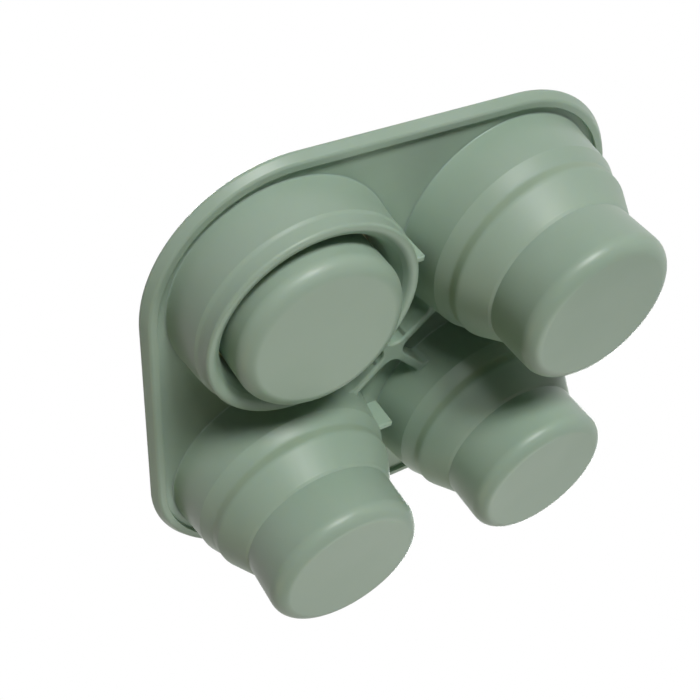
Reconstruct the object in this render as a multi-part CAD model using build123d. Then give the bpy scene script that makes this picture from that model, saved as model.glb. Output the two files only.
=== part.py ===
"""Collapsible freezer tray for baby food: four pop-out cups in one soft square tray.

The tray stands on its cup bottoms with the openings up. Each cup is a fixed collar under the deck,
a thin ring that folds through itself, and a stiff base that the ring carries. Three cups are
popped out to their full depth, and the front left one is pushed in. Millimetres, +Z up, and the
origin is on the table under the middle of the tray.
"""

from build123d import *
import os

# Cup base
base_radius = 26.5
base_height = 18.9
base_rounding = 5.0
base_floor = 2.2
wall = 2.0  # of the base and the collar

# Fold ring: outer hinge, shoulder, cone, step and inner hinge
fold_width = 5.65  # from the inner hinge out to the outer hinge
fold_height = 13.1  # outer hinge to inner hinge
hinge_wall = 1.2
shoulder_place = 2.1  # along the wall, from the outer hinge
shoulder_bulge = 1.2
shoulder_rounding = 1.2
step_place = 1.0  # along the wall, from the inner hinge
step_bulge = 0.3
fold_clearance = 0.3  # between a base and the ring folded in round it

# Cup collar: a tapered wall that ends in an inward-rolled bead
bead_width = 2.45  # outer hinge out to the crease
bead_height = 5.2  # crease to outer hinge
bead_rounding = 0.8
collar_taper = 2.1  # crease out to the foot of the wall at the deck
collar_wall_height = 15.3  # deck to crease

# The same collar once its cup is pushed in: the bead rolls out and up into a round lip
tuck_rise = 2.8  # of the crease
tuck_draw = 0.7  # of the crease, towards the cup's axis
tuck_rounding = 2.0
lip_bulge = 1.2  # crease out to the lip
lip_shoulder_height = 2.7  # crease down to where the lip is widest
lip_height = 4.1  # from there down to its underside
lip_land = 2.2  # from its underside up to the outer hinge
lip_rounding = 1.5

# Deck
cup_gap = 4.6  # between neighbouring collars, where they meet the deck
deck_margin = 3.1  # flat deck between a collar and the rim
deck_thickness = 2.0
deck_hole_rounding = 0.8  # top edge of each cup opening

# Rim bead round the deck, with a side that slants in to a flat underside
rim_width = 4.2
rim_drop = 1.5  # how far the bead hangs below the deck's underside
rim_rise = 0.4  # how far it stands above the deck
rim_slant_height = 2.6  # from its underside up to its widest line
rim_slant = 1.75  # how far the side draws in over that height
rim_rounding = 0.7
corner_shift = 2.0  # from a cup's axis to the centre of the rim's corner, along each side

# Cross of ribs under the deck
rib_thickness = 3.0
rib_height = 7.8
rib_edge_rounding = 0.8
cross_fillet = 4.5  # between neighbouring ribs
rib_flare = 1.2  # fillet between a rib and a collar
boss_land = 1.5  # straight rib that stays with the boss, past the fillets

# Lugs on the right sides of the two left collars
lug_thickness = 2.2
lug_height = 11.2
lug_top_gap = 3.4  # from the deck down to the lug
lug_stand = 1.7  # of the lug's free side, past the foot of the collar's wall
lug_rounding = 0.9
front_lug_offset = 6.5  # from the cup axis to the lug's middle, towards the front
back_lug_offset = 10.5

# Radii of the outside, from the base up to the deck
hinge_radius = base_radius + fold_width
bead_radius = hinge_radius + bead_width
collar_top_radius = bead_radius + collar_taper
hole_radius = collar_top_radius - wall

# Heights
hinge_z = base_height + fold_height
crease_z = hinge_z + bead_height
deck_bottom = crease_z + collar_wall_height
fold_travel = 2 * fold_height  # the inner hinge ends as far above the outer one as it hung below

# A pushed-in collar, from its crease to the outer hinge on the inner side of its lip
tucked_radius = bead_radius - tuck_draw
tucked_z = crease_z + tuck_rise
lip_radius = tucked_radius + lip_bulge
lip_wide_z = tucked_z - lip_shoulder_height
lip_bottom = lip_wide_z - lip_height
lip_hinge_z = lip_bottom + lip_land

# The tray seen from above
cup_pitch = 2 * collar_top_radius + cup_gap
half_width = cup_pitch / 2 + collar_top_radius + deck_margin + rim_width
corner_radius = half_width - cup_pitch / 2 + corner_shift

# Which way each cup lies from the middle, and whether it stands popped out
CUPS = {
    "front_left": (-1, -1, False),
    "front_right": (1, -1, True),
    "back_left": (-1, 1, True),
    "back_right": (1, 1, True),
}
LUG_OFFSETS = {"front_left": front_lug_offset, "back_left": back_lug_offset}


def cup_place(name):
    """Location of a cup's axis on the table."""
    side, depth, _ = CUPS[name]
    return Pos(side * cup_pitch / 2, depth * cup_pitch / 2, 0)


def rounded(section, roundings):
    """The flat section with fillets. roundings holds (point, radius) for each rounded corner."""
    for point, radius in roundings:
        section = fillet(section.vertices().sort_by_distance(point)[0], radius)
    return section


def turned(outline, roundings=()):
    """Solid of revolution about Z from an outline of (radius, height) points."""
    section = make_face(Polyline(*outline, close=True))
    return revolve(Plane.XZ * rounded(section, roundings), Axis.Z)


def rounded_square(half, radius, bottom, height):
    """Upright block with round corners, centred on the tray."""
    return Pos(0, 0, bottom) * extrude(RectangleRounded(2 * half, 2 * half, radius), height)


def deck_plate():
    half = half_width - rim_width
    plate = rounded_square(half, corner_radius - rim_width, deck_bottom, deck_thickness)
    opening = Pos(0, 0, deck_bottom) * extrude(Circle(hole_radius), deck_thickness)
    for name in CUPS:
        plate -= cup_place(name) * opening
    top_edges = plate.edges().group_by(Axis.Z)[-1]
    return fillet([edge for edge in top_edges if edge.is_closed], deck_hole_rounding)


def rim_bead():
    """The rim's section, drawn at one side and swept round the tray."""
    path = RectangleRounded(2 * half_width, 2 * half_width, corner_radius).wire()
    start = path @ 0
    along = path % 0
    outwards = along.cross(Vector(0, 0, 1))
    if outwards.dot(start) < 0:
        outwards = -outwards
    bottom = deck_bottom - rim_drop
    top = deck_bottom + deck_thickness + rim_rise
    lower_corner = (-rim_slant, bottom)
    widest = (0, bottom + rim_slant_height)
    upper_corner = (0, top)
    inner_corners = [(-rim_width, top), (-rim_width, bottom)]
    section = make_face(Polyline(lower_corner, widest, upper_corner, *inner_corners, close=True))
    section = rounded(section, [(corner, rim_rounding) for corner in (lower_corner, upper_corner)])
    upright = Plane(origin=start, x_dir=outwards, z_dir=outwards.cross(Vector(0, 0, 1)))
    return sweep(upright * section, path=path)


def collar_outside(popped_out):
    """Outside of a collar from the deck down to its end, as (radius, height) points, and its
    roundings."""
    foot = (collar_top_radius, deck_bottom)
    if popped_out:
        crease = (bead_radius, crease_z)
        return [foot, crease, (hinge_radius, hinge_z)], [(crease, bead_rounding)]
    crease = (tucked_radius, tucked_z)
    widest = (lip_radius, lip_wide_z)
    lip_corner = (lip_radius, lip_bottom)
    roundings = [(crease, tuck_rounding), (widest, tuck_rounding), (lip_corner, lip_rounding)]
    return [foot, crease, widest, lip_corner], roundings


def collar(popped_out):
    """Popped out, a collar ends at the outer hinge. Pushed in, its lip turns up to that hinge."""
    outside, roundings = collar_outside(popped_out)
    foot = (hole_radius, deck_bottom)
    if popped_out:
        inside = [(hinge_radius - hinge_wall, hinge_z), (bead_radius - wall, crease_z), foot]
        return turned(outside + inside, roundings)
    slot_radius = lip_radius - wall
    lip_inner_corner = (slot_radius - hinge_wall, lip_bottom)
    inside = [
        lip_inner_corner,
        (slot_radius - hinge_wall, lip_hinge_z),
        (slot_radius, lip_hinge_z),
        (slot_radius, lip_wide_z),
        (tucked_radius - wall, tucked_z),
        foot,
    ]
    return turned(outside + inside, roundings + [(lip_inner_corner, lip_rounding)])


def filled_collar(name):
    """A collar with its hollow filled, to cut away what would run into it."""
    outside, roundings = collar_outside(CUPS[name][2])
    axis_points = [(0, outside[-1][1]), (0, deck_bottom)]
    return cup_place(name) * turned(outside + axis_points, roundings)


def fold_ring(popped_out):
    """Thin ring between the hinges, drawn along its middle line from the outer hinge.

    Popped out, the ring runs down and inwards and its shouldered side faces out. Pushed in, it has
    rolled through itself: it runs up from the collar's lip and that side faces the cup's axis.
    """
    half_wall = hinge_wall / 2
    if popped_out:
        start = Vector(hinge_radius - half_wall, 0, hinge_z)
        end = Vector(base_radius - half_wall, 0, hinge_z - fold_height)
    else:
        start = Vector(lip_radius - wall - half_wall, 0, lip_hinge_z)
        end = Vector(base_radius + fold_clearance + half_wall, 0, hinge_z + fold_height)
    along = (end - start).normalized()
    shouldered = along.cross(Vector(0, 1, 0))
    length = (end - start).length

    def at(distance, rise):
        p = start + along * distance + shouldered * (half_wall + rise)
        return (p.X, p.Z)

    side = half_wall if popped_out else -half_wall
    shoulder = at(shoulder_place, shoulder_bulge)
    outline = [
        (start.X + side, start.Z),
        shoulder,
        at(length - step_place, step_bulge),
        (end.X + side, end.Z),
        (end.X - side, end.Z),
        (start.X - side, start.Z),
    ]
    return turned(outline, [(shoulder, shoulder_rounding)])


def cup_base(popped_out):
    bottom = 0 if popped_out else fold_travel
    top = bottom + base_height
    floor = bottom + base_floor
    inner_radius = base_radius - wall
    outer_corner = (base_radius, bottom)
    inner_corner = (inner_radius, floor)
    outline = [
        (0, bottom),
        outer_corner,
        (base_radius, top),
        (inner_radius, top),
        inner_corner,
        (0, floor),
    ]
    return turned(outline, [(outer_corner, base_rounding), (inner_corner, base_rounding - wall)])


def wall_radius(popped_out, z):
    """Outer radius of a collar's wall at a height between its crease and the deck."""
    (foot_radius, foot_z), (crease_radius, crease_height) = collar_outside(popped_out)[0][:2]
    share = (z - crease_height) / (foot_z - crease_height)
    return crease_radius + (foot_radius - crease_radius) * share


def rib_cross():
    """Boss and diagonal ribs under the middle of the deck, by node name.

    The plan is two crossed bars that run into the four collars, with fillets where they meet.
    """
    bottom = deck_bottom - rib_height
    bar = Rectangle(cup_pitch * 2**0.5, rib_thickness)
    plan = Rot(0, 0, 45) * bar + Rot(0, 0, -45) * bar
    plan = fillet(plan.vertices().sort_by_distance((0, 0, 0))[:4], cross_fillet)
    for name, (_, _, popped_out) in CUPS.items():
        plan += cup_place(name) * Circle(wall_radius(popped_out, bottom))
    fillet_ends, at_collars = 8, 8
    inner_corners = plan.vertices().sort_by_distance((0, 0, 0))[: fillet_ends + at_collars]
    plan = fillet(inner_corners[fillet_ends:], rib_flare)
    cross = Pos(0, 0, bottom) * extrude(plan, rib_height)
    under = cross.faces().sort_by(Axis.Z)[0]
    cross = fillet(under.edges(), rib_edge_rounding)
    for name in CUPS:
        cross -= filled_collar(name)
    boss_width = rib_thickness + 2 * (cross_fillet + boss_land)
    standing = (Align.CENTER, Align.CENTER, Align.MIN)
    block = Pos(0, 0, bottom) * Rot(0, 0, 45) * Box(boss_width, boss_width, rib_height, align=standing)
    pieces = {"centre_boss": cross & block}
    ribs = (cross - block).solids()
    for name in CUPS:
        pieces[f"rib_{name}"] = ribs.sort_by_distance(cup_place(name).position)[0]
    return pieces


def spacer_lug(name):
    """Short upright bar on a collar's right side, with its lower edges rounded."""
    hanging = (Align.MIN, Align.CENTER, Align.MAX)
    bar = Pos(0, -LUG_OFFSETS[name], deck_bottom - lug_top_gap) * Box(
        collar_top_radius + lug_stand, lug_thickness, lug_height, align=hanging
    )
    under = bar.faces().sort_by(Axis.Z)[0]
    free_edges = under.edges().sort_by(Axis.X)[1:]
    bar = fillet(free_edges, lug_rounding)
    return cup_place(name) * bar - filled_collar(name)


def main():
    os.makedirs("parts", exist_ok=True)
    nodes = {"deck_plate": deck_plate(), "rim_bead": rim_bead()}
    for name, (_, _, popped_out) in CUPS.items():
        place = cup_place(name)
        nodes[f"collar_{name}"] = place * collar(popped_out)
        nodes[f"fold_ring_{name}"] = place * fold_ring(popped_out)
        nodes[f"cup_base_{name}"] = place * cup_base(popped_out)
    nodes.update(rib_cross())
    for name in LUG_OFFSETS:
        nodes[f"spacer_lug_{name}"] = spacer_lug(name)
    for node, shape in nodes.items():
        export_step(shape, f"parts/{node}.step")


main()
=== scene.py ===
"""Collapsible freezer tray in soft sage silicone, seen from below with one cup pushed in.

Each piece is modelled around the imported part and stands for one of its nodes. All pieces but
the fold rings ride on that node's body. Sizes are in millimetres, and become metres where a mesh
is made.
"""

import math

import bpy
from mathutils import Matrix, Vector


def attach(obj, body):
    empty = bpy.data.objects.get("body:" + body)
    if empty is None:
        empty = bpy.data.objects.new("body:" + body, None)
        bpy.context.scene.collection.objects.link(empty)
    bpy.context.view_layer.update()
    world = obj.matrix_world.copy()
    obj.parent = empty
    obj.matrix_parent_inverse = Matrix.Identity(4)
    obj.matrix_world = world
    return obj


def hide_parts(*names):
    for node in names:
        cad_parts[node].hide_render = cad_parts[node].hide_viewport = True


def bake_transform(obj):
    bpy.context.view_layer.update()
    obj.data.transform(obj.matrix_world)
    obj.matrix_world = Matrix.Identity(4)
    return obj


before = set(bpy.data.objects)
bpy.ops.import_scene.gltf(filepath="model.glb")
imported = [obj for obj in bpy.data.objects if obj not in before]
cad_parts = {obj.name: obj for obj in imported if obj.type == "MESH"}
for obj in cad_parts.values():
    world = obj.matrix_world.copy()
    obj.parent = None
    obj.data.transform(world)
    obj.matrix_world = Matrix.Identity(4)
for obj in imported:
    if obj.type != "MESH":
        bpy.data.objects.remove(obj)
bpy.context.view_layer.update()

MM = 0.001
NEAR = 0.01  # a point this near to a line or a height counts as on it

# Fineness of the meshes
TURNS = 144  # edges round a cup
CORNER_STEPS = 36  # edges round each corner of the tray
ARC_STEP = 9  # degrees that an edge of a rounding may turn
COLLAR_LEG = 2.2  # longest step along a collar that bends
RING_LEG = 0.8  # and along a fold ring
SHARP = math.radians(38)

# The tray, as its nodes have it
CUP_PITCH = 78.0
WALL = 2.0
DECK_BOTTOM = 52.5
DECK_TOP = 54.5
DECK_HOLE = 36.0  # radius that a collar's mouth fills
BASE_HEIGHT = 18.9
BASE_RADIUS = 26.5
BASE_FLOOR = 2.2
BASE_CAP = 3.0  # radius of the flat faces in the middle of a base
LIP_HINGE = 35.4  # where a pushed-in collar's lip turns up into its fold ring
FOLD_TRAVEL = 26.2
CUPS = {  # which way each lies from the middle, and whether it is popped out
    "front_left": (-1, -1, False),
    "front_right": (1, -1, True),
    "back_left": (-1, 1, True),
    "back_right": (1, 1, True),
}

# Rim
RIM_TOP = 54.9
RIM_EDGE = 53.6  # height of its widest line
RIM_BOTTOM = 51.0
RIM_HALF = 83.0
RIM_WIDTH = 4.2
RIM_INNER = RIM_HALF - RIM_WIDTH
RIM_CORNER = 46.0
RIM_SLANT = 1.75  # how far its side draws in below the widest line
RIM_ROUNDINGS = [  # half width and height of each line round the rim, its bevel and its steps
    (RIM_HALF, RIM_TOP, 0.9, 5),
    (RIM_HALF, RIM_EDGE, 0.35, 3),
    (RIM_HALF - RIM_SLANT, RIM_BOTTOM, 0.7, 6),
    (RIM_INNER, RIM_BOTTOM, 0.25, 3),
    (RIM_INNER, RIM_TOP, 0.3, 3),
]

# Boss and ribs
RIB_BOTTOM = 44.7
RIB_WIDTH = 3.0
RIB_ROOT = 1.0  # how far they reach up into the deck
RIB_ROUNDING = (0.8, 5)  # bevel and steps
BOSS_REACH = 7.5  # from the middle to where the ribs take over
BOSS_FILLET = (4.5, 10)
BOSS_OVERLAP = 1.2  # how far a rib runs into the boss
RIB_FLARE = [  # distance from the middle, and width as a share of the straight rib's
    (15.3, 1.0),
    (16.6, 1.06),
    (17.5, 1.25),
    (18.1, 1.6),
    (18.5, 2.2),
    (19.0, 3.2),
]
RIB_LEAN = 1.05  # how much further out the flare ends below, where the collar is narrower

# Lugs
LUG_TOP = 49.1
LUG_BOTTOM = 37.9
LUG_WIDTH = 2.2
LUG_END_ROUNDING = (0.9, 5)  # bevel and steps
LUG_SIDE_ROUNDING = (0.35, 3)
LUGS = {  # from the cup's axis: towards the front, to the root in the wall, to the free side
    "front_left": (6.5, 33.25, 39.2),
    "back_left": (10.5, 32.8, 38.4),
}


# Shaders


class Field:
    """A value that varies over a surface. Arithmetic on it adds Math nodes."""

    def __init__(self, shader, socket):
        self.shader = shader
        self.socket = socket

    def maths(self, operation, *operands):
        return self.shader.node("Math", {"operation": operation}, dict(enumerate(operands)))

    def __add__(self, other):
        return self.maths("ADD", self, other)

    def __rsub__(self, other):
        return self.maths("SUBTRACT", other, self)

    def __mul__(self, other):
        return self.maths("MULTIPLY", self, other)

    __radd__ = __add__
    __rmul__ = __mul__


class Shader:
    """A material's node tree, one call for each node."""

    def __init__(self, tree):
        self.tree = tree
        tree.nodes.clear()

    def node(self, kind, settings=None, sockets=None, out=0):
        made = self.tree.nodes.new("ShaderNode" + kind)
        for key, value in (settings or {}).items():
            setattr(made, key, value)
        for key, value in (sockets or {}).items():
            if isinstance(value, Field):
                self.tree.links.new(value.socket, made.inputs[key])
            else:
                made.inputs[key].default_value = value
        return Field(self, made.outputs[out]) if made.outputs else None

    def band(self, value, low, high):
        """0 below low, 1 above high, smooth between."""
        sockets = {"Value": value, "From Min": low, "From Max": high}
        return self.node("MapRange", {"interpolation_type": "SMOOTHSTEP"}, sockets)

    def tint(self, mask, plain, tinted):
        settings = {"data_type": "RGBA"}
        return self.node("Mix", settings, {0: mask, 6: plain, 7: tinted}, out=2)


SAGE = (0.318, 0.425, 0.330, 1)
SAGE_PALE = (0.345, 0.448, 0.356, 1)
# painted shade for the fold grooves: darker and yellower than the plain sage
SAGE_GROOVE_SHADE = (0.305, 0.402, 0.295, 1)
WHITE = (1, 1, 1, 1)
TABLE = (0.86, 0.86, 0.85, 1)

DULLNESS = 0.34
FOLD_DULLNESS = 0.42
GROOVE_OUT = 31.0  # height of the painted groove shade in a popped-out cup's fold
GROOVE_IN = 33.0  # and at the lip of a pushed-in one
GROOVE_HALF = 1.2
GROOVE_SOFTNESS = 0.8


def silicone(name, dullness=DULLNESS, groove=None):
    """Satin silicone with a faint cloudiness and a fine skin. At the height of a groove the colour
    is
    painted darker and yellower: painted shade with a warm tint of bounced light."""
    material = bpy.data.materials.new(name)
    material.use_nodes = True
    s = Shader(material.node_tree)
    place = s.node("TexCoord", out="Object")
    cloud = s.node("TexNoise", {}, {"Vector": place, "Scale": 28.0, "Detail": 2.0})
    colour = s.tint(s.band(cloud, 0.35, 0.65), SAGE, SAGE_PALE)
    if groove is not None:
        height = s.node("SeparateXYZ", {}, {0: place}, out="Z")
        low, high = (groove - GROOVE_HALF) * MM, (groove + GROOVE_HALF) * MM
        soft = GROOVE_SOFTNESS * MM
        rise = s.band(height, low - soft, low + soft)
        fall = s.band(height, high - soft, high + soft)
        # painted shade: the band at the groove's height is darker and yellower
        colour = s.tint(rise * (1 - fall), colour, SAGE_GROOVE_SHADE)
    skin = s.node("TexNoise", {}, {"Vector": place, "Scale": 2600.0, "Detail": 3.0})
    bump = {"Strength": 0.12, "Distance": 0.04 * MM, "Height": skin}
    shell = {
        "Base Color": colour,
        "Roughness": dullness + 0.08 * cloud,
        "Normal": s.node("Bump", {}, bump),
        "Specular IOR Level": 0.36,
        "Subsurface Weight": 0.3,
        "Subsurface Radius": (1.5, 1.1, 0.6),
        "Subsurface Scale": 2.0 * MM,
    }
    surface = s.node("BsdfPrincipled", {}, shell)
    s.node("OutputMaterial", {}, {"Surface": surface})
    return material


# Modelling


def centre(cup):
    """A cup's axis, in metres."""
    side, depth, _ = CUPS[cup]
    return side * CUP_PITCH / 2 * MM, depth * CUP_PITCH / 2 * MM


def start_edit(kind):
    """Edit mode on the new primitive, with nothing selected."""
    bpy.ops.object.transform_apply(location=True, rotation=True, scale=True)
    bpy.ops.object.mode_set(mode="EDIT")
    bpy.ops.mesh.select_mode(type=kind)
    bpy.ops.mesh.select_all(action="DESELECT")


def pick(part, test):
    """Selects in edit mode the vertices, edges or faces of the open mesh that pass the test. The
    test takes a face, or a point that stands for a vertex or for either end of an edge."""
    bpy.ops.object.mode_set(mode="OBJECT")
    mesh = bpy.context.object.data
    items = {"VERT": mesh.vertices, "EDGE": mesh.edges, "FACE": mesh.polygons}
    for group in items.values():
        group.foreach_set("select", [False] * len(group))
    points = [v.co for v in mesh.vertices]
    for item in items[part]:
        if part == "VERT":
            item.select = test(item.co)
        elif part == "EDGE":
            item.select = all(test(points[i]) for i in item.vertices)
        else:
            item.select = test(item)
    bpy.ops.object.mode_set(mode="EDIT")
    bpy.ops.mesh.select_mode(type=part)


def at_bottom(level):
    """Test for the points at the lowest height of a piece."""
    return lambda p: p.z < (level + NEAR) * MM


def pull(x=0, y=0, z=0):
    """Extrudes what is selected and moves it."""
    bpy.ops.mesh.extrude_region_move(TRANSFORM_OT_translate={"value": (x * MM, y * MM, z * MM)})


def bevel(size, steps, affect="EDGES"):
    bpy.ops.mesh.bevel(offset=size * MM, segments=steps, affect=affect)


def add_block(low, high):
    """A block between two corners, in edit mode."""
    size = [b - a for a, b in zip(low, high)]
    middle = [(a + b) / 2 * MM for a, b in zip(low, high)]
    bpy.ops.mesh.primitive_cube_add(size=1, location=middle)
    bpy.context.object.scale = [length * MM for length in size]
    start_edit("EDGE")


def finish_piece(name, material, body=None):
    """Leaves edit mode, turns the faces outwards, smooths them, and names and paints the piece."""
    bpy.ops.object.mode_set(mode="EDIT")
    bpy.ops.mesh.select_all(action="SELECT")
    bpy.ops.mesh.normals_make_consistent(inside=False)
    bpy.ops.object.mode_set(mode="OBJECT")
    bpy.ops.object.shade_smooth_by_angle(angle=SHARP)
    piece = bpy.context.object
    bpy.ops.object.modifier_add(type="WEIGHTED_NORMAL")
    piece.modifiers[-1].keep_sharp = True
    bpy.ops.object.modifier_apply(modifier=piece.modifiers[-1].name)
    piece.name = piece.data.name = name + "_skin"
    piece.data.materials.clear()
    piece.data.materials.append(material)
    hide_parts(name)
    if body:
        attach(piece, body)
    bpy.ops.object.select_all(action="DESELECT")
    return piece


def round_ring(corner, before, after, rounding, axis):
    """Rounds the ring at one corner of a turned outline."""
    r, z = corner
    one = Vector((before[0] - r, before[1] - z))
    two = Vector((after[0] - r, after[1] - z))
    turn = math.pi - one.angle(two)

    def on_ring(p):
        reach = (Vector((p.x, p.y)) - axis).length
        return max(abs(reach - r * MM), abs(p.z - z * MM)) < NEAR * MM

    pick("EDGE", on_ring)
    steps = max(3, math.ceil(math.degrees(turn) / ARC_STEP))
    bevel(rounding * math.tan(turn / 2), steps)


def turned(outline, cup, roundings=(), leg=None, capped=False):
    """A cup's ring or bowl in edit mode, pulled up ring by ring along an outline of (radius,
    height) points. A closed outline ends where it starts, and a capped one ends in two flat faces.
    roundings holds (index, radius) for the corners that are rounded, and leg the longest step."""
    x, y = centre(cup)
    points = [outline[0]]
    for (r0, z0), (r1, z1) in zip(outline, outline[1:]):
        parts = 1 if leg is None else max(1, math.ceil(math.hypot(r1 - r0, z1 - z0) / leg))
        for k in range(1, parts + 1):
            points.append((r0 + (r1 - r0) * k / parts, z0 + (z1 - z0) * k / parts))
    radius, height = points[0]
    place = (x, y, height * MM)
    bpy.ops.mesh.primitive_circle_add(vertices=TURNS, radius=radius * MM, location=place)
    start_edit("EDGE")
    bpy.ops.mesh.select_all(action="SELECT")
    if capped:
        bpy.ops.mesh.edge_face_add()
        bpy.ops.mesh.select_mode(type="EDGE")
    for r, z in points[1:]:
        pull(z=z - height)
        scale = r / radius
        bpy.ops.transform.resize(value=(scale, scale, 1), center_override=(x, y, z * MM))
        radius, height = r, z
    bpy.ops.mesh.select_all(action="SELECT")
    bpy.ops.mesh.remove_doubles(threshold=1e-6)
    for index, rounding in roundings:
        corner, before, after = outline[index], outline[index - 1], outline[index + 1]
        round_ring(corner, before, after, rounding, Vector((x, y)))


# Collars, as (radius, height) points, and (index, radius) for the rounded ones. Each starts at its
# mouth in the deck, comes down inside, and goes back up outside. A pushed-in cup's collar ends in
# a soft lip, which turns in under it and carries the fold ring.
COLLAR_OUT = [
    (DECK_HOLE, DECK_TOP),
    (34.7, DECK_TOP),
    (32.6, 37.2),
    (31.45, 33.2),
    (32.72, 33.2),
    (34.6, 37.2),
    (36.7, DECK_BOTTOM),
    (37.2, DECK_BOTTOM),
    (DECK_HOLE, DECK_BOTTOM),
    (DECK_HOLE, DECK_TOP),
]
COLLAR_OUT_ROUNDED = [(1, 0.8), (5, 0.5), (6, 0.5)]
COLLAR_IN = [
    (DECK_HOLE, DECK_TOP),
    (34.7, DECK_TOP),
    (33.2, 38.2),
    (33.0, 35.4),
    (29.9, 35.4),
    (31.6, 33.4),
    (34.5, 33.4),
    (34.5, 35.8),
    (34.75, 37.5),
    (35.35, 38.4),
    (36.7, DECK_BOTTOM),
    (37.2, DECK_BOTTOM),
    (DECK_HOLE, DECK_BOTTOM),
    (DECK_HOLE, DECK_TOP),
]
COLLAR_IN_ROUNDED = [(1, 0.8), (5, 2.6), (6, 1.0), (7, 5.0), (8, 1.5), (9, 0.6), (10, 0.5)]
LIP_TILT = (1.29, 2.64)  # degrees, rise of the pushed-in lip along +X and +Y
LIP_SHIFT = 0.6  # how far it is pushed over to the right
LIP_REACH = 9.0  # height over which that bend fades out

# Fold rings. A popped-out one goes down its ribbed outside and back up its food side. A pushed-in
# one goes up the side that faces the cup's axis and back down the other.
RING_OUT = [
    (32.72, 33.2),
    (32.3, 32.3),
    (32.15, 29.05),
    (27.14, 19.74),
    (26.5, 18.9),
    (25.3, 18.9),
    (31.0, 31.8),
    (31.45, 33.2),
    (32.72, 33.2),
]
RING_OUT_ROUNDED = [(1, 2.5), (2, 2.6), (3, 0.6)]
RING_IN = [
    (29.9, 35.4),
    (28.2, 38.6),
    (27.35, 42.2),
    (26.5, 45.1),
    (27.7, 45.1),
    (28.4, 44.3),
    (29.9, 39.4),
    (32.0, 35.8),
    (32.8, 35.4),
    (29.9, 35.4),
]
RING_IN_ROUNDED = [(1, 8.0), (6, 5.0)]

BASE_ROUNDED = [(1, 5.0), (4, 3.0)]  # a base's bottom edge, and the one inside above it


def bend_lip(cup):
    """Tilts all of the open piece below the lip's hinge and pushes it over, fading out above."""
    x, y = centre(cup)
    pivot = (x, y, LIP_HINGE * MM)
    pick("VERT", lambda p: p.z < LIP_HINGE * MM)
    fading = {
        "use_proportional_edit": True,
        "proportional_edit_falloff": "SMOOTH",
        "proportional_size": LIP_REACH * MM,
    }
    along_x, along_y = (math.radians(angle) for angle in LIP_TILT)
    bpy.ops.transform.rotate(value=-along_y, orient_axis="X", center_override=pivot, **fading)
    bpy.ops.transform.rotate(value=along_x, orient_axis="Y", center_override=pivot, **fading)
    bpy.ops.transform.translate(value=(LIP_SHIFT * MM, 0, 0), **fading)


def make_collar(cup, material):
    _, _, popped_out = CUPS[cup]
    if popped_out:
        turned(COLLAR_OUT, cup, COLLAR_OUT_ROUNDED)
    else:
        turned(COLLAR_IN, cup, COLLAR_IN_ROUNDED, leg=COLLAR_LEG)
        bend_lip(cup)
    finish_piece(f"collar_{cup}", material, "tray")


def make_ring(cup):
    _, _, popped_out = CUPS[cup]
    if popped_out:
        turned(RING_OUT, cup, RING_OUT_ROUNDED, leg=RING_LEG)
    else:
        turned(RING_IN, cup, RING_IN_ROUNDED, leg=RING_LEG)
        bend_lip(cup)
    groove = GROOVE_OUT if popped_out else GROOVE_IN
    ring = finish_piece(f"fold_ring_{cup}", silicone(f"sage_fold_{cup}", FOLD_DULLNESS, groove))
    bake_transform(ring)


def make_base(cup, material):
    _, _, popped_out = CUPS[cup]
    bottom = 0 if popped_out else FOLD_TRAVEL
    top = bottom + BASE_HEIGHT
    floor = bottom + BASE_FLOOR
    inner = BASE_RADIUS - WALL
    outline = [
        (BASE_CAP, bottom),
        (BASE_RADIUS, bottom),
        (BASE_RADIUS, top),
        (inner, top),
        (inner, floor),
        (BASE_CAP, floor),
    ]
    turned(outline, cup, BASE_ROUNDED, capped=True)
    finish_piece(f"cup_base_{cup}", material, f"{cup}_base")


def round_slab(half, corner, bottom, top):
    """A square block with round upright corners, left in edit mode."""
    add_block((-half, -half, bottom), (half, half, top))
    bpy.ops.object.mode_set(mode="OBJECT")
    mesh = bpy.context.object.data
    for edge in mesh.edges:
        a, b = (mesh.vertices[i].co for i in edge.vertices)
        edge.select = abs(a.z - b.z) > NEAR * MM
    bpy.ops.object.mode_set(mode="EDIT")
    bevel(corner, CORNER_STEPS)


def make_rim(material):
    """Rim with a side that slants in to a flat underside."""
    round_slab(RIM_HALF, RIM_CORNER, RIM_EDGE, RIM_TOP)
    pick("FACE", lambda face: face.normal.z < -0.9)
    bpy.ops.mesh.inset(thickness=RIM_SLANT * MM, depth=(RIM_EDGE - RIM_BOTTOM) * MM)
    bpy.ops.mesh.inset(thickness=(RIM_WIDTH - RIM_SLANT) * MM)
    pick("FACE", lambda face: face.normal.z > 0.9)
    bpy.ops.mesh.inset(thickness=RIM_WIDTH * MM)
    middle_area = (RIM_INNER * MM) ** 2
    pick("FACE", lambda face: abs(face.normal.z) > 0.9 and face.area > middle_area)
    bpy.ops.mesh.delete(type="FACE")
    bpy.ops.mesh.select_mode(type="EDGE")
    bpy.ops.mesh.select_non_manifold()
    bpy.ops.mesh.bridge_edge_loops()
    straight = (RIM_HALF - RIM_CORNER) * MM
    for half, height, size, steps in RIM_ROUNDINGS:

        def on_line(p):
            corner = Vector((max(abs(p.x) - straight, 0), max(abs(p.y) - straight, 0)))
            off = abs(corner.length + straight - half * MM)
            return max(off, abs(p.z - height * MM)) < NEAR * MM

        pick("EDGE", on_line)
        bevel(size, steps)
    finish_piece("rim_bead", material, "tray")


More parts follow.
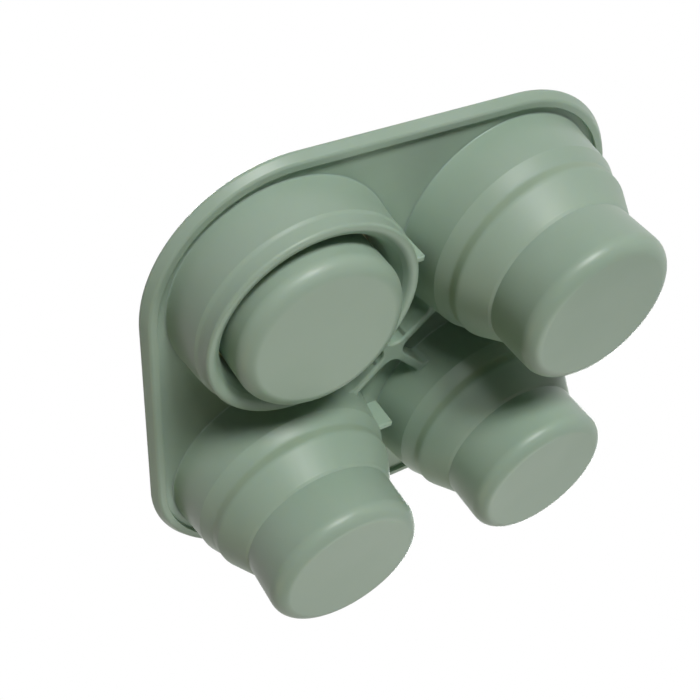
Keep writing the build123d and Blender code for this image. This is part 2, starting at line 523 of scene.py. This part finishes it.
def make_deck(material):
    """Plate with a hole for each collar."""
    round_slab(RIM_INNER, RIM_CORNER - RIM_WIDTH, DECK_BOTTOM, DECK_TOP)
    bpy.ops.object.mode_set(mode="OBJECT")
    deck = bpy.context.object
    for cup in CUPS:
        bpy.ops.object.select_all(action="DESELECT")
        bpy.ops.mesh.primitive_cylinder_add(
            vertices=TURNS,
            radius=DECK_HOLE * MM,
            depth=10 * (DECK_TOP - DECK_BOTTOM) * MM,
            location=(*centre(cup), DECK_TOP * MM),
        )
        cutter = bpy.context.object
        bpy.ops.object.transform_apply(location=True)
        bpy.ops.object.select_all(action="DESELECT")
        bpy.context.view_layer.objects.active = deck
        deck.select_set(True)
        bpy.ops.object.modifier_add(type="BOOLEAN")
        deck.modifiers[-1].object = cutter
        bpy.ops.object.modifier_apply(modifier=deck.modifiers[-1].name)
        bpy.data.objects.remove(cutter)
    finish_piece("deck_plate", material, "tray")


def turn_into_place(degrees, x=0.0, y=0.0):
    """Turns a piece about the upright axis, moves it by metres, and applies both."""
    bpy.ops.object.mode_set(mode="OBJECT")
    piece = bpy.context.object
    piece.rotation_euler = (0, 0, math.radians(degrees))
    piece.location = (x, y, 0)
    bpy.ops.object.transform_apply(location=True, rotation=True, scale=True)
    bpy.ops.object.mode_set(mode="EDIT")


def make_boss(material):
    """Cross in the middle, with hollow fillets between its arms."""
    place = (0, 0, RIB_BOTTOM * MM)
    bpy.ops.mesh.primitive_plane_add(size=RIB_WIDTH * MM, location=place)
    start_edit("EDGE")
    half = RIB_WIDTH / 2
    for dx, dy in ((1, 0), (-1, 0), (0, 1), (0, -1)):

        def on_side(p):
            """Whether a point is on this side of the small square in the middle."""
            within = max(abs(p.x), abs(p.y)) < (half + NEAR) * MM
            return within and p.x * dx + p.y * dy > (half - NEAR) * MM

        pick("EDGE", on_side)
        pull(dx * (BOSS_REACH - half), dy * (BOSS_REACH - half))
    bpy.ops.mesh.select_mode(type="FACE")
    bpy.ops.mesh.select_all(action="SELECT")
    bpy.ops.mesh.dissolve_faces()
    pick("VERT", lambda p: max(abs(abs(p.x) - half * MM), abs(abs(p.y) - half * MM)) < NEAR * MM)
    bevel(*BOSS_FILLET, affect="VERTICES")
    bpy.ops.mesh.select_mode(type="FACE")
    bpy.ops.mesh.select_all(action="SELECT")
    pull(z=DECK_BOTTOM + RIB_ROOT - RIB_BOTTOM)
    pick("EDGE", at_bottom(RIB_BOTTOM))
    bevel(*RIB_ROUNDING)
    turn_into_place(45)
    finish_piece("centre_boss", material, "tray")


def make_rib(cup, material):
    """Rib from the boss to a collar, flared where it runs into the collar's wall."""
    side, depth, _ = CUPS[cup]
    half = RIB_WIDTH / 2
    flare_start = RIB_FLARE[0][0]
    low = (BOSS_REACH - BOSS_OVERLAP, -half, RIB_BOTTOM)
    add_block(low, (flare_start, half, DECK_BOTTOM + RIB_ROOT))
    pick("FACE", lambda face: face.normal.x > 0.9)
    for (reach, width), (far, wide) in zip(RIB_FLARE, RIB_FLARE[1:]):
        pull(x=far - reach)
        place = (far * MM, 0, RIB_BOTTOM * MM)
        bpy.ops.transform.resize(value=(1, wide / width, 1), center_override=place)
    lowest = at_bottom(RIB_BOTTOM)
    pick("VERT", lambda p: p.x > (flare_start - NEAR) * MM and lowest(p))
    bpy.ops.transform.translate(value=(RIB_LEAN * MM, 0, 0))
    for way in (1, -1):
        pick("EDGE", lambda p: p.y * way > NEAR * MM and lowest(p))
        bevel(*RIB_ROUNDING)
    turn_into_place(math.degrees(math.atan2(depth, side)))
    finish_piece(f"rib_{cup}", material, "tray")


def make_lug(cup, material):
    """Short upright bar on a collar's right side, round at its free lower end."""
    offset, root, reach = LUGS[cup]
    near, far = -offset - LUG_WIDTH / 2, -offset + LUG_WIDTH / 2
    add_block((root, near, LUG_BOTTOM), (reach, far, LUG_TOP))
    pick("EDGE", at_bottom(LUG_BOTTOM))
    bevel(*LUG_END_ROUNDING)
    pick("EDGE", lambda p: p.x > (reach - NEAR) * MM)
    bevel(*LUG_SIDE_ROUNDING)
    turn_into_place(0, *centre(cup))
    finish_piece(f"spacer_lug_{cup}", material, "tray")


bpy.ops.object.select_all(action="DESELECT")
sage = silicone("sage_silicone")
for cup in CUPS:
    make_collar(cup, sage)
    make_ring(cup)
    make_base(cup, sage)
    make_rib(cup, sage)
make_rim(sage)
make_deck(sage)
make_boss(sage)
for cup in LUGS:
    make_lug(cup, sage)


# Stage, in metres

TABLE_SIZE = 6.0
TABLE_DROP = 0.0002  # below the cups
TABLE_FADE = (0.2, 0.8)  # distances from the middle between which it turns white
TABLE_GLOW = 0.25  # share of white beside the tray
SKY_LIGHT = 0.015
LAMP_AIM = Vector((0, 0, 0.03))
LAMP_DISTANCE = 1.4
LAMPS = {  # direction from the tray, diameter, watts and colour
    "front_box": ((0.03, -0.92, -0.39), 0.35, 12.0, (1, 1, 1)),
    "side_box": ((-0.2, -0.91, -0.36), 0.3, 3.6, (1, 1, 1)),
    "left_card": ((-0.75, 0.56, -0.35), 0.8, 1.8, (1, 0.93, 0.5)),
    "back_panel": ((0.3, 0.63, -0.7), 0.9, 4.4, (0.93, 1, 0.88)),
    "upper_box": ((0.2, 0.3, 0.93), 0.5, 15.0, (1, 1, 1)),
    "rear_box": ((0.58, 0.74, 0.3), 0.7, 9.0, (1, 1, 1)),
}


def make_table():
    """Pale table under the cups, white far off. It shows from above only, and gives the tray no
    light."""
    bpy.ops.mesh.primitive_plane_add(size=TABLE_SIZE, location=(0, 0, -TABLE_DROP))
    table = bpy.context.object
    table.name = "table"
    material = bpy.data.materials.new("pale_table")
    material.use_nodes = True
    s = Shader(material.node_tree)
    near = s.node("BsdfDiffuse", {}, {"Color": TABLE})
    far = s.node("Emission", {}, {"Color": WHITE})
    place = s.node("TexCoord", out="Object")
    reach = s.node("VectorMath", {"operation": "LENGTH"}, {0: place}, out="Value")
    fade = TABLE_GLOW + (1 - TABLE_GLOW) * s.band(reach, *TABLE_FADE)
    top = s.node("MixShader", {}, {0: fade, 1: near, 2: far})
    clear = s.node("BsdfTransparent")
    back = s.node("NewGeometry", out="Backfacing")
    s.node("OutputMaterial", {}, {"Surface": s.node("MixShader", {}, {0: back, 1: top, 2: clear})})
    table.data.materials.append(material)
    table.visible_diffuse = False
    table.visible_glossy = False
    table.visible_transmission = False
    table.visible_shadow = False


def make_sky():
    """Even studio light, with plain white where the camera or a reflection sees past the tray."""
    world = bpy.data.worlds.new("studio")
    world.use_nodes = True
    bpy.context.scene.world = world
    s = Shader(world.node_tree)
    path = s.node("LightPath", out="Is Camera Ray")
    rays = path.socket.node.outputs
    seen = path + Field(s, rays["Is Glossy Ray"]) + Field(s, rays["Is Transmission Ray"])
    soft = s.node("Background", {}, {"Color": WHITE, "Strength": SKY_LIGHT})
    white = s.node("Background", {}, {"Color": WHITE, "Strength": 1.0})
    s.node("OutputWorld", {}, {"Surface": s.node("MixShader", {}, {0: seen, 1: soft, 2: white})})


def add_lamp(name, direction, size, power, colour):
    """Soft box that looks at the tray's middle from a direction in the tray's frame."""
    away = Vector(direction).normalized()
    lamp = bpy.data.lights.new(name, "AREA")
    lamp.shape = "DISK"
    lamp.size = size
    lamp.energy = power
    lamp.color = colour
    holder = bpy.data.objects.new(name, lamp)
    bpy.context.scene.collection.objects.link(holder)
    holder.location = LAMP_AIM + away * LAMP_DISTANCE
    holder.rotation_euler = away.to_track_quat("Z", "Y").to_euler()


make_table()
make_sky()
for name, settings in LAMPS.items():
    add_lamp(name, *settings)

camera = bpy.data.cameras.new("camera")
camera.lens = 53.19
camera.sensor_width = 36
camera.clip_start = 0.01
viewer = bpy.data.objects.new("camera", camera)
bpy.context.scene.collection.objects.link(viewer)
viewer.location = (-0.15434, -0.23896, -0.14118)
viewer.rotation_euler = (2.29832, 0.53892, -0.10737)
bpy.context.scene.camera = viewer
bpy.context.scene.view_settings.view_transform = "Standard"
